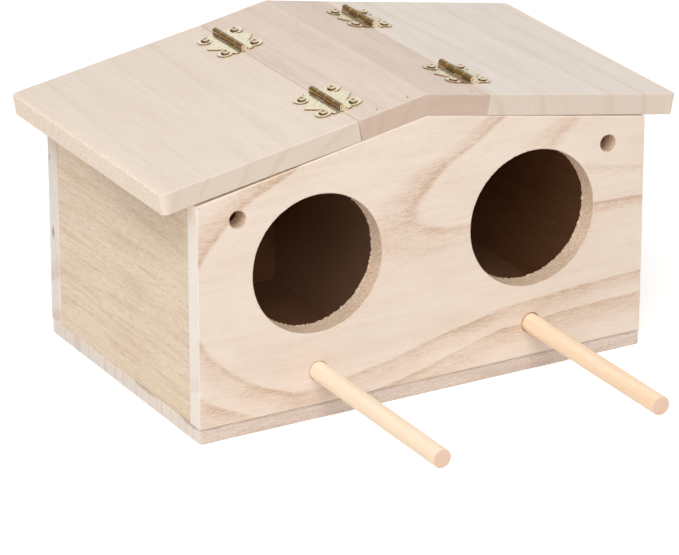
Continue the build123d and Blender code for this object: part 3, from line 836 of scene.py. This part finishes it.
def board_material(name, face, streak, end, wood, axes, origin, inward=None, torn=None):
    """Sanded bare wood. axes are the grain, across and outward directions of the board, inward is the
    direction that its inner face looks in, which the inner colour darkens as painted shade, and torn the
    colours of torn wood across the grain, along it, where a darker colour is painted shade, and in its pits,
    with the board's directions shrunk where the tears run on."""
    grain = GRAINS[name]
    material, tree, bsdf, where = new_material(f"{name}_wood")
    axes = [Vector(axis) for axis in axes]
    if axes[0].dot(axes[1].cross(axes[2])) < 0:
        axes[0] = -axes[0]
    turn = Matrix(axes)
    board = add_node(tree, "ShaderNodeMapping", {
        "Vector": where["Object"], "Location": -(turn @ Vector(origin)), "Rotation": turn.to_euler("XYZ"),
    })[0]
    log = use_group(tree, "growth_rings", vector=board, **grain.rings)
    cut = use_group(tree, "rough_cut", vector=board, grain_size=SANDED_SPECK)
    ends = use_group(tree, "facing", normal=where["Normal"], direction=axes[0])["Along"]
    dark = tuple(value * DARKER for value in streak)

    ring = log["Ring"] * grain.ring
    if grain.marks:
        faded = log["Tone"].eased(0.35, 0.6, 0.45, 1.0)
        ring = ring.at_least(single_rings(log["Distance"], grain.marks) * faded)
    fibres = use_group(tree, "wood_fibres", vector=board, fibre_width=grain.fibre_width,
                       length=grain.fibre_length, porous=ring)
    long_grain = (ring * fibres["Fibre"].eased(0.3, 0.66, 0.35, 1.3)).mix(face, streak)
    for value, low, high, amount, stain in (
        (fibres["Streak"], 0.42, 0.72, grain.streak, streak),
        (fibres["Fibre"], 0.35, 0.75, grain.fibre, streak),
        (log["Tone"], 0.35, 0.7, TONE, streak),
        (fibres["Pores"], 0.0, 1.0, ring * (grain.pores * 1.5) + grain.pores, dark),
    ):
        long_grain = value.eased(low, high, 0.0, amount).mix(long_grain, stain)
    cross_grain = (log["Ring"] * min(1.0, grain.ring + END_RINGS)).mix(end, streak)
    cross_grain = (cut["Specks"] * END_SPECKS).mix(cross_grain, dark)
    base = ends.mix(long_grain, cross_grain)
    # Painted shade: faces that look into the box, away from its ends, are multiplied by the inner colour
    if inward:
        inside = use_group(tree, "facing", normal=where["Normal"], direction=inward)["Toward"]
        inside = inside * abs(where["Object"].parts()[0]).eased(*INSIDE_SHADE_END, 1.0, 0.0)
        base = inside.mix(base, wood.inner, "MULTIPLY")
    if torn:
        across_grain, along_grain, pit, shrink = torn
        tears = use_group(tree, "rough_cut", vector=board.scaled(shrink), grain_size=TORN_SPECK)
        # Painted shade on the front panel's bored walls: walls along the grain take the darker colour,
        # end-grain walls the paler one
        rough = (tears["Pits"] * TORN_PITS).mix(ends.mix(along_grain, across_grain), pit)
        # Pale specks in torn wood: partly loose fibres, partly painted highlight
        rough = (cut["Specks"] * TORN_SPECKS).mix(rough, wood.edge)
        base = add_node(tree, "ShaderNodeAttribute", attribute_name="bore")["Fac"].mix(base, rough)
    # Stain patches, and painted shade along the base joint and under the left eave, darken toward the dark
    # colour
    if grain.stains:
        patchy = fibres["Fibre"].eased(0.3, 0.6, 0.25, 1.0)
        base = stained_and_shaded(where["Object"], grain.stains, patchy).mix(base, dark)
    # Rounded edges and rims are lightened in specks: partly wear, partly painted highlight
    edge = add_node(tree, "ShaderNodeAttribute", attribute_name="edge")["Fac"]
    base = (edge * cut["Specks"].eased(0.0, 1.0, 0.35, 1.0) * EDGE_SPECKS).mix(base, wood.edge)
    height = fibres["Pores"] * -0.7 + fibres["Fibre"] + ends * cut["Pits"]
    feed(bsdf, {"Base Color": base, "Roughness": fibres["Fibre"].eased(0.2, 0.8, *WOOD_ROUGHNESS),
                "Specular IOR Level": 0.2, "Normal": bumps(height, 0.5, FIBRE_DEPTH)})
    return material


def metal_material(name, bright, side, stain, amount, gloss, low, metallic, barrel=None, cap=None):
    """Bright plated metal with tarnish and fine scratches, and the side colour as painted shade where it
    doesn't face up. The change starts where the upward part of the normal is low. Near the hinges' axes it is
    duller and of the barrel's colour, a painted dark reflection, and on the barrel's ends of the cap's."""
    material, tree, bsdf, where = new_material(name)
    marks = use_group(tree, "plating", vector=where["Object"], stain_size=0.0016)
    up = use_group(tree, "facing", normal=where["Normal"], direction=(0, 0, 1), low=low, high=low + 0.25)
    up = up["Toward"]
    # Faces that don't face up take the side colour as painted shade
    base = up.mix(side, (marks["Stain"] * amount).mix(bright, stain))
    shine = up.eased(0.0, 1.0, 1.0, metallic)
    rough = marks["Stain"] * 0.08 + gloss
    if barrel:
        axis = (abs(HINGE_AXES["left"][0]) + abs(HINGE_AXES["right"][0])) / 2
        off_axis = abs(abs(where["Object"].parts()[0]) - axis)
        near = off_axis.eased(*PAINTED_BARREL_END, 1.0, 0.0)
        ends = use_group(tree, "facing", normal=where["Normal"], direction=(0, 1, 0))["Along"] * near
        # Painted dark reflection: near the axes the brass takes the barrel colour, and is less metallic and
        # rougher
        base = ends.mix(near.mix(base, barrel), cap)
        shine = shine - near * 0.6
        rough = rough + near * 0.15
    height = marks["Scratches"] * 0.3 + marks["Stain"]
    feed(bsdf, {"Base Color": base, "Roughness": rough, "Metallic": shine,
                "Normal": bumps(height, 0.2, SCRATCH_DEPTH)})
    return material


def nail_material(name, steel, rust, putty):
    """Dull rusty steel, with putty over the heads behind the box's middle."""
    material, tree, bsdf, where = new_material(name)
    stain = use_group(tree, "plating", vector=where["Object"], stain_size=0.0006)["Stain"]
    filled = where["Object"].parts()[1].eased(-0.01, 0.01)
    feed(bsdf, {"Base Color": filled.mix((stain * 0.5).mix(steel, rust), putty),
                "Metallic": filled.eased(0.0, 1.0, 0.6, 0.0), "Roughness": stain * 0.2 + 0.55})
    return material


def floor_material(white, glow):
    """The white floor, which adds its own white for the camera and in reflections."""
    material, tree, bsdf, where = new_material("studio_floor")
    base = (where["Object"].noise(3.0) * 0.04).mix(white, tuple(value * 0.9 for value in white))
    seen = add_node(tree, "ShaderNodeLightPath")
    direct = seen["Is Camera Ray"] + seen["Is Glossy Ray"] + seen["Is Transmission Ray"]
    feed(bsdf, {"Base Color": base, "Roughness": 0.9, "Specular IOR Level": 0.0,
                "Emission Color": (1, 1, 1, 1), "Emission Strength": direct.at_most(1.0) * glow})
    return material


# Places on the roof

def roof_axes(side, lift, sizes):
    """The across, along and up directions of one side of the roof: across runs down the slope."""
    turn = sizes.slope - lift
    across = np.array([SIDES[side] * math.cos(turn), 0, -math.sin(turn)])
    up = np.array([SIDES[side] * math.sin(turn), 0, math.cos(turn)])
    return across, np.array([0.0, 1.0, 0.0]), up


def lid_lift(side, sizes):
    """How far a side's lid is raised at rest."""
    return sizes.left_lift if side == "left" else sizes.right_lift


def ridge_width(side, sizes):
    """Width of a ridge board, from the middle of the roof to the foot of its hinge axis."""
    foot = abs(HINGE_AXES[side][0]) - math.sin(sizes.slope) * sizes.axis_height
    return foot / math.cos(sizes.slope)


def roof_board_middle(side, axes, middle, halves, way, sunk, sizes):
    """The middle of a roof board. It lies beside the seam under the hinge axis, on the way 1 toward the
    eave or -1 toward the ridge, and its top is sunk by so much below the roof's."""
    across, along, up = axes
    seam = HINGE_AXES[side] + middle[1] * along
    return seam + across * way * (sizes.seam / 2 + halves[0]) - up * (sizes.axis_height + sunk + halves[2])


# Operators, one for each piece or group of like pieces

def make_board(name, piece, patches, body, slot, colours, axes, origin, **more):
    """Makes one board in place of its CAD node, in its own wood."""
    material = board_material(name, *colours, bpy.context.scene.wood_looks, axes, origin, **more)
    make_piece(piece, patches, body, material, name)


class BuildOperator:
    """What the operators share: they need a scene that holds the settings."""

    bl_options = {"REGISTER", "UNDO"}

    @classmethod
    def poll(cls, context):
        return hasattr(context.scene, "box_sizes")


class BREEDING_BOX_OT_front_panel(BuildOperator, bpy.types.Operator):
    """Makes the gabled front panel with its bored holes"""

    bl_idname = "breeding_box.front_panel"
    bl_label = "Front panel"

    def execute(self, context):
        wood = context.scene.wood_looks
        # Its inner face gets the inner colour as painted shade
        make_board(
            "front_panel", "front_panel_board", front_patches(context.scene.box_sizes), "box", "front_wood",
            (wood.front, wood.front_streak, wood.front_end), FRONT_GRAIN, FRONT_GRAIN_START,
            # The second bored colour is painted shade on the walls at the holes' tops and bottoms
            inward=(0, 1, 0), torn=(wood.bore, wood.bore_shade, wood.bore_pit, (0.8, 0.8, 1)),
        )
        return {"FINISHED"}


class BREEDING_BOX_OT_back_panel(BuildOperator, bpy.types.Operator):
    """Makes the gabled back panel"""

    bl_idname = "breeding_box.back_panel"
    bl_label = "Back panel"

    def execute(self, context):
        sizes, wood = context.scene.box_sizes, context.scene.wood_looks
        middle, halves = middle_and_halves("back_panel")
        faces = placed(eased_slab(halves, sizes.arris, (0.01, 0.006, 0.01)), middle)
        # Its inner face gets the inner colour as painted shade
        make_board(
            "back_panel", "back_panel_board", under_roof(faces, sizes), "box", "front_wood",
            (wood.front, wood.front_streak, wood.back_end), FRONT_GRAIN, middle, inward=(0, -1, 0),
        )
        return {"FINISHED"}


class BREEDING_BOX_OT_side_panels(BuildOperator, bpy.types.Operator):
    """Makes the two side panels"""

    bl_idname = "breeding_box.side_panels"
    bl_label = "Side panels"

    def execute(self, context):
        sizes, wood = context.scene.box_sizes, context.scene.wood_looks
        for side, sign in SIDES.items():
            middle, halves = middle_and_halves(f"{side}_side_panel")
            fall = math.tan(sizes.slope - lid_lift(side, sizes))

            def follow_lid(points):
                """Lowers the panel's top on its way out, as the lid falls, and less further down."""
                rise = (points[..., 2] + halves[2]) / (2 * halves[2])
                drop = (points[..., 0] * sign + halves[0]) * fall * rise
                return points - drop[..., None] * [0, 0, 1]

            faces = reshaped(eased_slab(halves, sizes.arris / 2, (0.01,) * 3), follow_lid)
            # Their inner faces get the inner colour as painted shade
            make_board(
                f"{side}_side_panel", f"{side}_side_panel_board", placed(faces, middle), "box", "side_wood",
                (wood.side, wood.side_streak, wood.front_end), ((0, 1, 0), (0, 0, 1), (sign, 0, 0)), middle,
                inward=(-sign, 0, 0),
            )
        return {"FINISHED"}


class BREEDING_BOX_OT_divider_panel(BuildOperator, bpy.types.Operator):
    """Makes the thin wall between the two chambers"""

    bl_idname = "breeding_box.divider_panel"
    bl_label = "Divider panel"

    def execute(self, context):
        sizes, wood = context.scene.box_sizes, context.scene.wood_looks
        middle, halves = middle_and_halves("divider_panel")
        faces = placed(eased_slab(halves, sizes.arris / 3, (0.004, 0.01, 0.01)), middle)
        # The divider is coloured all over with the inner colour, as painted shade
        make_board("divider_panel", "divider_board", under_roof(faces, sizes), "box", "divider_wood",
                   (wood.inner, wood.side_streak, wood.inner), LENGTHWISE_GRAIN, middle)
        return {"FINISHED"}


class BREEDING_BOX_OT_base_board(BuildOperator, bpy.types.Operator):
    """Makes the base board"""

    bl_idname = "breeding_box.base_board"
    bl_label = "Base board"

    def execute(self, context):
        sizes, wood = context.scene.box_sizes, context.scene.wood_looks
        middle, halves = middle_and_halves("base_board")
        corner = sizes.base_corner
        faces = reshaped(eased_slab(halves, sizes.arris, (0.01, 0.01, 0.003), corner),
                         lambda points: rounded_in_plan(points, halves, corner, True))
        # The floor inside the box gets the inner colour as painted shade
        make_board("base_board", "base_board_plate", placed(faces, middle), "box", "base_wood",
                   (wood.base, wood.base_streak, wood.base_end), np.eye(3), middle, inward=(0, 0, 1))
        return {"FINISHED"}


class BREEDING_BOX_OT_ridge_boards(BuildOperator, bpy.types.Operator):
    """Makes the two fixed roof boards that meet at the ridge"""

    bl_idname = "breeding_box.ridge_boards"
    bl_label = "Ridge boards"

    def execute(self, context):
        sizes, wood = context.scene.box_sizes, context.scene.wood_looks
        for side in SIDES:
            axes = roof_axes(side, 0, sizes)
            middle, halves = middle_and_halves(f"{side}_ridge_board")
            halves[0] = (ridge_width(side, sizes) - sizes.seam / 2) / 2
            halves[2] = (sizes.roof_thickness - sizes.sanding) / 2
            origin = roof_board_middle(side, axes, middle, halves, -1, sizes.sanding, sizes)

            def mitre(points):
                """Draws the ridge end in toward the underside, so that the two boards meet upright."""
                toward_ridge = 0.5 - points[..., 0] / (2 * halves[0])
                shift = toward_ridge * (halves[2] - points[..., 2]) * math.tan(sizes.slope)
                return points + shift[..., None] * [1, 0, 0]

            faces = reshaped(eased_slab(halves, sizes.arris / 2, (0.008, 0.01, 0.006)), mitre)
            faces = placed(faces, origin, axes)
            make_board(f"{side}_ridge_board", f"{side}_ridge_plank", faces, "box", "ridge_wood",
                       (wood.ridge, wood.ridge_streak, wood.ridge_end), (axes[1], axes[0], axes[2]), origin)
        return {"FINISHED"}


class BREEDING_BOX_OT_lids(BuildOperator, bpy.types.Operator):
    """Makes the two hinged roof boards"""

    bl_idname = "breeding_box.lids"
    bl_label = "Lids"

    def execute(self, context):
        sizes, wood = context.scene.box_sizes, context.scene.wood_looks
        for side, sign in SIDES.items():
            turn = sizes.slope - lid_lift(side, sizes)
            axes = roof_axes(side, lid_lift(side, sizes), sizes)
            middle, halves = middle_and_halves(f"{side}_lid")
            halves[0] = (halves[0] - sizes.roof_thickness / 2 * math.sin(turn)) / math.cos(turn)
            halves[2] = sizes.roof_thickness / 2
            origin = roof_board_middle(side, axes, middle, halves, 1, 0, sizes)

            def near_eave(points, reach):
                """How near points are to the eave, from 0 at that reach to 1 on it."""
                return np.clip(1 - (halves[0] - points[..., 0]) / reach, 0, 1)

            def saw(points):
                """Rounds the outer corners, and presses fine and coarse saw marks into the eave."""
                points = rounded_in_plan(points, halves, sizes.eave_corner)
                fine, coarse = (np.abs(ripple(points, wavelength, seed + sign))
                                for wavelength, seed in ((FINE_SAWING, 30), (COARSE_SAWING, 32)))
                depth = sizes.saw_mark * (fine + 0.6 * coarse) * near_eave(points, SAWN_REACH)
                return points - depth[..., None] * [1, 0, 0.5]

            faces = eased_slab(halves, sizes.arris, (0.0025, 0.0008, 0.0015), sizes.eave_corner)
            faces = [face._replace(bore=0.9 * near_eave(face.points, TORN_REACH) ** 2)
                     for face in reshaped(faces, saw)]
            faces = placed(faces, origin, axes)
            make_board(
                f"{side}_lid", f"{side}_lid_plank", faces, f"{side}_lid_body", "lid_wood",
                # Each lid's own colour, the right one's partly painted light
                (getattr(wood, f"{side}_lid"), wood.lid_streak, wood.lid_end),
                (axes[1], axes[0], axes[2]), origin, torn=(wood.torn, wood.torn, wood.torn_pit, (0.35, 1, 1)),
            )
        return {"FINISHED"}


class BREEDING_BOX_OT_perches(BuildOperator, bpy.types.Operator):
    """Makes the two dowels that the birds land on"""

    bl_idname = "breeding_box.perches"
    bl_label = "Perches"

    def execute(self, context):
        wood = context.scene.wood_looks
        for side, slot in (("left", "pale_dowel"), ("right", "warm_dowel")):
            middle, halves = middle_and_halves(f"{side}_perch")
            patches = [Patch(dowel_surface(middle, halves[1], halves[0], 40 + SIDES[side]), True)]
            make_board(f"{side}_perch", f"{side}_perch_dowel", patches, "box", slot,
                       (getattr(wood, slot), wood.dowel_streak, wood.dowel_end), LENGTHWISE_GRAIN, middle)
        return {"FINISHED"}


def dowel_surface(middle, half, radius, seed):
    """A dowel along Y, closed at both ends: a circle of points carried along the axis. Its radius grows
    from zero over each flat end and round a small arris, and sways by a few hundredths of a millimetre."""
    arris = 0.5 * MM
    flat = np.linspace(0, radius - arris, 5)[:-1]
    end_radii = np.concatenate([flat, radius - arris + arris * np.sin(QUARTER)])
    end_places = np.concatenate([0 * flat, arris * (1 - np.cos(QUARTER))]) - half
    body = np.linspace(arris - half, half - arris, 60)[1:-1]
    radii = np.concatenate([end_radii, np.full(len(body), radius), end_radii[::-1]])
    places = middle[1] + np.concatenate([end_places, body, -end_places[::-1]])
    turn = np.linspace(0, 2 * math.pi, 49)[:-1]
    circle = np.stack([np.cos(turn), np.zeros(len(turn)), np.sin(turn)], axis=-1)
    axis = middle * [1, 0, 1] + places[:, None, None] * [0, 1, 0]
    out = radii[:, None, None] * circle
    sway = 1 - 0.008 * np.abs(ripple((axis + out) * [1, 0.3, 1], 8 * MM, seed))
    return axis + out * sway[..., None]


def finish_node(name, material, edge=0.0):
    """Gives a carried-over node its material and, where edge is set, a rounded edge of that width."""
    node = frame["nodes"][name]
    node.data.materials.clear()
    node.data.materials.append(material)
    if edge:
        node.modifiers.new("Join corners", "WELD").merge_threshold = WELD
        bevel = node.modifiers.new("Worn edges", "BEVEL")
        bevel.width = edge
        bevel.segments = 2
        bevel.limit_method = "ANGLE"
        bevel.angle_limit = SHARP_ANGLE
        bevel.use_clamp_overlap = True
        node.modifiers.new("Even shading", "WEIGHTED_NORMAL").weight = 100


def finish_hinges(parts, material, edge):
    """Finishes the named parts of all four hinges."""
    for side in SIDES:
        for place in PLACES:
            for part in parts:
                finish_node(f"{side}_{place}_hinge_{part}", material, edge)


class BREEDING_BOX_OT_hinges(BuildOperator, bpy.types.Operator):
    """Finishes the leaves and pins of the four butterfly hinges"""

    bl_idname = "breeding_box.hinges"
    bl_label = "Hinge leaves and pins"

    def execute(self, context):
        metal = context.scene.metal_looks
        brass = metal_material("hinge_leaf_brass", metal.leaf, metal.leaf_side, metal.leaf_stain, 0.4,
                               metal.gloss, 0.7, 0.75, barrel=metal.barrel, cap=metal.cap)
        finish_hinges(("fixed_leaf", "lid_leaf", "pin"), brass, 0.12 * MM)
        return {"FINISHED"}


class BREEDING_BOX_OT_screws(BuildOperator, bpy.types.Operator):
    """Finishes the screws of the hinges"""

    bl_idname = "breeding_box.screws"
    bl_label = "Hinge screws"

    def execute(self, context):
        metal = context.scene.metal_looks
        brass = metal_material("screw_brass", metal.screw, metal.screw_side, metal.screw_stain, 0.5,
                               metal.screw_gloss, 0.6, 0.4)
        finish_hinges(("fixed_screws", "lid_screws"), brass, 0.08 * MM)
        return {"FINISHED"}


class BREEDING_BOX_OT_nails(BuildOperator, bpy.types.Operator):
    """Finishes the nails of the ridge boards and the base board"""

    bl_idname = "breeding_box.nails"
    bl_label = "Nails"

    def execute(self, context):
        metal = context.scene.metal_looks
        steel = nail_material("nail_steel", metal.nail, metal.screw_stain, metal.putty)
        for name in ("base_nails", "left_ridge_board_nails", "right_ridge_board_nails"):
            finish_node(name, steel)
        return {"FINISHED"}


class BREEDING_BOX_OT_studio(BuildOperator, bpy.types.Operator):
    """Makes the white floor, the soft lights and the camera"""

    bl_idname = "breeding_box.studio"
    bl_label = "Studio"

    def execute(self, context):
        studio = context.scene.studio_looks
        self.make_floor(studio)
        self.make_sky(context.scene, studio)
        for name, (place, size) in LAMPS.items():
            self.make_lamp(f"{name}_light", place, size, getattr(studio, name))
        self.make_camera(context.scene, studio)
        context.scene.view_settings.view_transform = "Standard"
        return {"FINISHED"}

    def make_floor(self, studio):
        """A wide flat floor just under the base board."""
        corners = [(x * FLOOR_REACH, y * FLOOR_REACH, CAD_BOX[0][2]) for x, y in
                   ((-1, -1), (1, -1), (1, 1), (-1, 1))]
        mesh = bpy.data.meshes.new("studio_floor")
        mesh.from_pydata(corners, [], [(0, 1, 2, 3)])
        mesh.materials.append(floor_material(studio.floor, studio.floor_glow))
        floor = bpy.data.objects.new("studio_floor", mesh)
        bpy.context.scene.collection.objects.link(floor)

    def make_sky(self, scene, studio):
        """Even light from all round, dimmer from the room in front, and white to the camera. Metal
        mirrors a white wall on the right, and a warm dim room over, under and beside it."""
        world = bpy.data.worlds.new("studio_sky")
        world.use_nodes = True
        scene.world = world
        tree = world.node_tree
        way = add_node(tree, "ShaderNodeTexCoord")["Generated"].parts()
        ahead = way[1].eased(*ROOM_DEPTH, 1.0 - studio.front_shade, 1.0)
        level = ahead.at_least(way[2].eased(*CEILING)) * way[2].eased(*CEILING, 1.0, studio.zenith)
        seen = add_node(tree, "ShaderNodeLightPath")
        shiny = seen["Is Glossy Ray"].at_least(seen["Is Transmission Ray"])
        over, under = way[2].eased(*WALL_TOP), way[2].eased(*WALL_FOOT, 1.0, 0.0)
        off_wall = over.at_least(under).at_least(way[0].eased(*WALL_SIDE, 1.0, 0.0))
        feed(tree.nodes["Background"], {
            "Color": (shiny * off_wall).mix((1, 1, 1), studio.mirrored),
            "Strength": seen["Is Camera Ray"].at_least(shiny).at_least(level * studio.sky),
        })

    def make_lamp(self, name, place, size, power):
        """A soft square lamp aimed at the middle of the box."""
        lamp = bpy.data.lights.new(name, "AREA")
        lamp.size = size
        lamp.energy = power
        holder = bpy.data.objects.new(name, lamp)
        aim = Vector((CAD_BOX[0] + CAD_BOX[1]) / 2) - Vector(place)
        holder.location = place
        holder.rotation_euler = aim.to_track_quat("-Z", "Y").to_euler()
        bpy.context.scene.collection.objects.link(holder)

    def make_camera(self, scene, studio):
        """The camera, whose right, up and backward directions follow from its yaw, pitch and roll."""
        yaw, pitch, roll = studio.yaw, studio.pitch, studio.roll
        ahead = Vector((-math.sin(yaw) * math.cos(pitch), math.cos(yaw) * math.cos(pitch), math.sin(pitch)))
        right = ahead.cross(Vector((0, 0, 1))).normalized()
        up = right.cross(ahead)
        leaning_right = right * math.cos(roll) + up * math.sin(roll)
        leaning_up = up * math.cos(roll) - right * math.sin(roll)
        data = bpy.data.cameras.new("studio_camera")
        data.sensor_width = SENSOR_WIDTH
        data.lens = studio.lens
        data.clip_start, data.clip_end = CLIP_RANGE
        camera = bpy.data.objects.new("studio_camera", data)
        turn = Matrix((leaning_right, leaning_up, -ahead)).transposed()
        camera.matrix_world = Matrix.Translation(studio.eye) @ turn.to_4x4()
        scene.collection.objects.link(camera)
        scene.camera = camera


class BREEDING_BOX_PT_pieces(bpy.types.Panel):
    """Lists the pieces of the breeding box"""

    bl_idname = "BREEDING_BOX_PT_pieces"
    bl_label = "Breeding Box"
    bl_space_type = "VIEW_3D"
    bl_region_type = "UI"
    bl_category = "Breeding Box"

    def draw(self, context):
        column = self.layout.column(align=True)
        for operator in PIECES:
            column.operator(operator.bl_idname)


PIECES = (
    BREEDING_BOX_OT_studio,
    BREEDING_BOX_OT_front_panel,
    BREEDING_BOX_OT_back_panel,
    BREEDING_BOX_OT_side_panels,
    BREEDING_BOX_OT_divider_panel,
    BREEDING_BOX_OT_base_board,
    BREEDING_BOX_OT_ridge_boards,
    BREEDING_BOX_OT_lids,
    BREEDING_BOX_OT_perches,
    BREEDING_BOX_OT_hinges,
    BREEDING_BOX_OT_screws,
    BREEDING_BOX_OT_nails,
)
SETTINGS = {
    "box_sizes": BoxSizes,
    "wood_looks": WoodLooks,
    "metal_looks": MetalLooks,
    "studio_looks": StudioLooks,
}


def register():
    """Registers the settings, the operators and the panel."""
    for name, group in SETTINGS.items():
        bpy.utils.register_class(group)
        setattr(bpy.types.Scene, name, PointerProperty(type=group))
    for operator in PIECES:
        bpy.utils.register_class(operator)
    bpy.utils.register_class(BREEDING_BOX_PT_pieces)


def unregister():
    """Takes everything back that register set up."""
    bpy.utils.unregister_class(BREEDING_BOX_PT_pieces)
    for operator in reversed(PIECES):
        bpy.utils.unregister_class(operator)
    for name, group in SETTINGS.items():
        delattr(bpy.types.Scene, name)
        bpy.utils.unregister_class(group)


def main():
    register()
    for operator in PIECES:
        family, name = operator.bl_idname.split(".")
        getattr(getattr(bpy.ops, family), name)()


if __name__ == "__main__":
    main()
